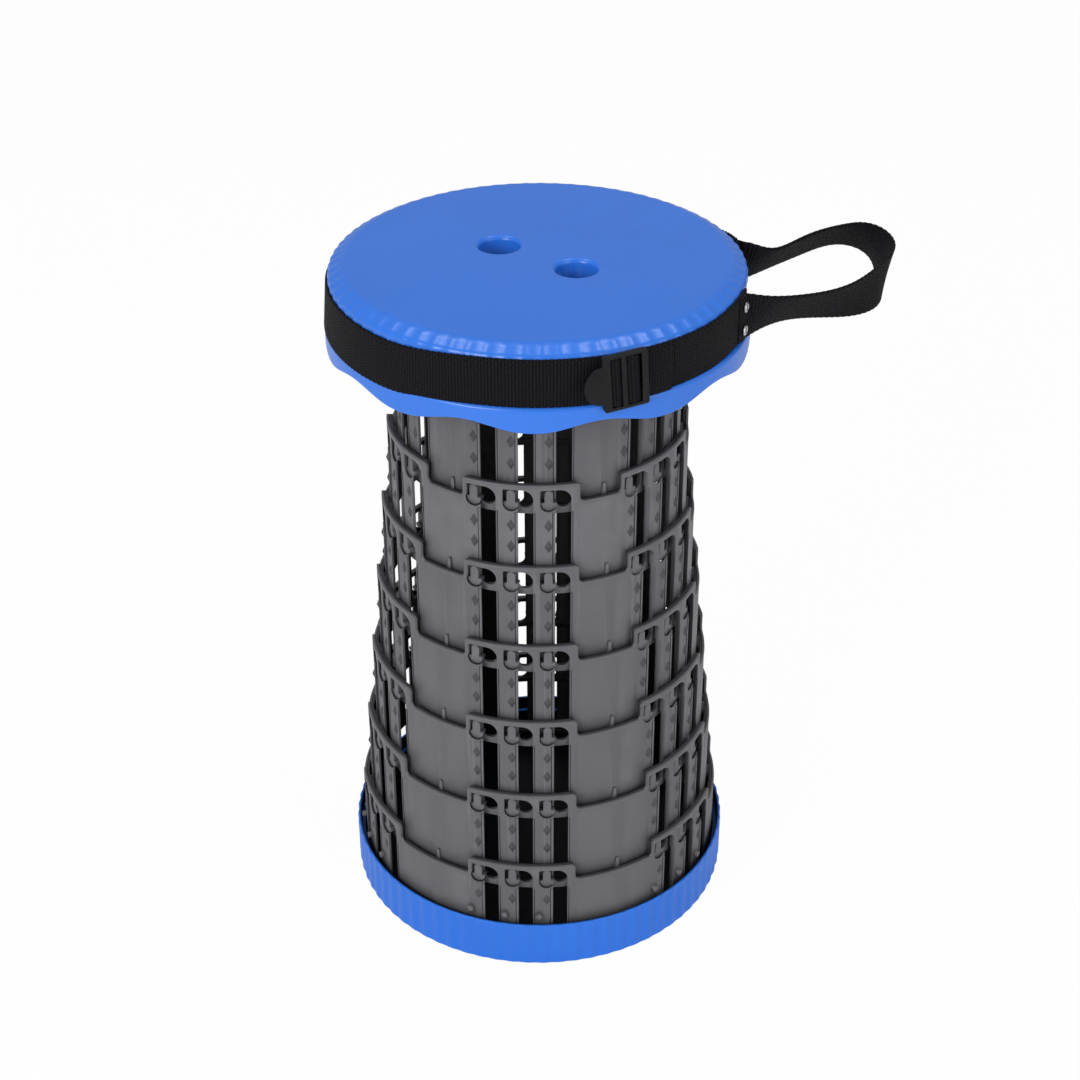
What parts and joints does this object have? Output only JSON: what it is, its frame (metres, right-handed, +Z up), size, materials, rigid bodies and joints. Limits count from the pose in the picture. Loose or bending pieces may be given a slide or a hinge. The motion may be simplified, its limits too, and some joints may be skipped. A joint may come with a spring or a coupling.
{
  "type": "collapsible telescopic stool",
  "caption": "Round stool on nested rings that slide into one another, with finger holes in the seat, a base cup, and a riveted webbing strap with a buckle and a carry loop.",
  "frame": {"origin": "on the floor, under the centre of the base", "axes": "+Z up along the axis of the rings, -Y to the front, +X towards the carry loop"},
  "size_m": [0.345, 0.261, 0.45],
  "materials": {
    "seat_blue": "satin moulded plastic",
    "ring_grey": "satin moulded plastic",
    "web_black": "ribbed woven webbing",
    "buckle_black": "satin",
    "steel": "plain",
    "rubber": "matt"
  },
  "bodies": {
    "base": {"base_cup": "seat_blue", "foot_pads": "rubber", "ring_8": "ring_grey"},
    "ring_7": {"ring_7": "ring_grey"},
    "ring_6": {"ring_6": "ring_grey"},
    "ring_5": {"ring_5": "ring_grey"},
    "ring_4": {"ring_4": "ring_grey"},
    "ring_3": {"ring_3": "ring_grey"},
    "ring_2": {"ring_2": "ring_grey"},
    "seat": {"seat_top": "seat_blue", "seat_screws": "steel", "ring_1": "ring_grey", "strap_short": "web_black", "strap_long": "web_black", "carry_loop": "web_black", "ladder_lock": "buckle_black", "front_rivets": "steel", "back_rivets": "steel", "front_washers": "steel", "back_washers": "steel"}
  },
  "joints": [
    {"name": "ring_7_slide", "type": "slide", "parent": "base", "child": "ring_7", "axis": [0, 0, 1], "range_m": [-0.0532, 0]},
    {"name": "ring_6_slide", "type": "slide", "parent": "ring_7", "child": "ring_6", "axis": [0, 0, 1], "range_m": [-0.0532, 0]},
    {"name": "ring_5_slide", "type": "slide", "parent": "ring_6", "child": "ring_5", "axis": [0, 0, 1], "range_m": [-0.0532, 0]},
    {"name": "ring_4_slide", "type": "slide", "parent": "ring_5", "child": "ring_4", "axis": [0, 0, 1], "range_m": [-0.0532, 0]},
    {"name": "ring_3_slide", "type": "slide", "parent": "ring_4", "child": "ring_3", "axis": [0, 0, 1], "range_m": [-0.0532, 0]},
    {"name": "ring_2_slide", "type": "slide", "parent": "ring_3", "child": "ring_2", "axis": [0, 0, 1], "range_m": [-0.0532, 0]},
    {"name": "seat_slide", "type": "slide", "parent": "ring_2", "child": "seat", "axis": [0, 0, 1], "range_m": [-0.0461, 0]}
  ]
}
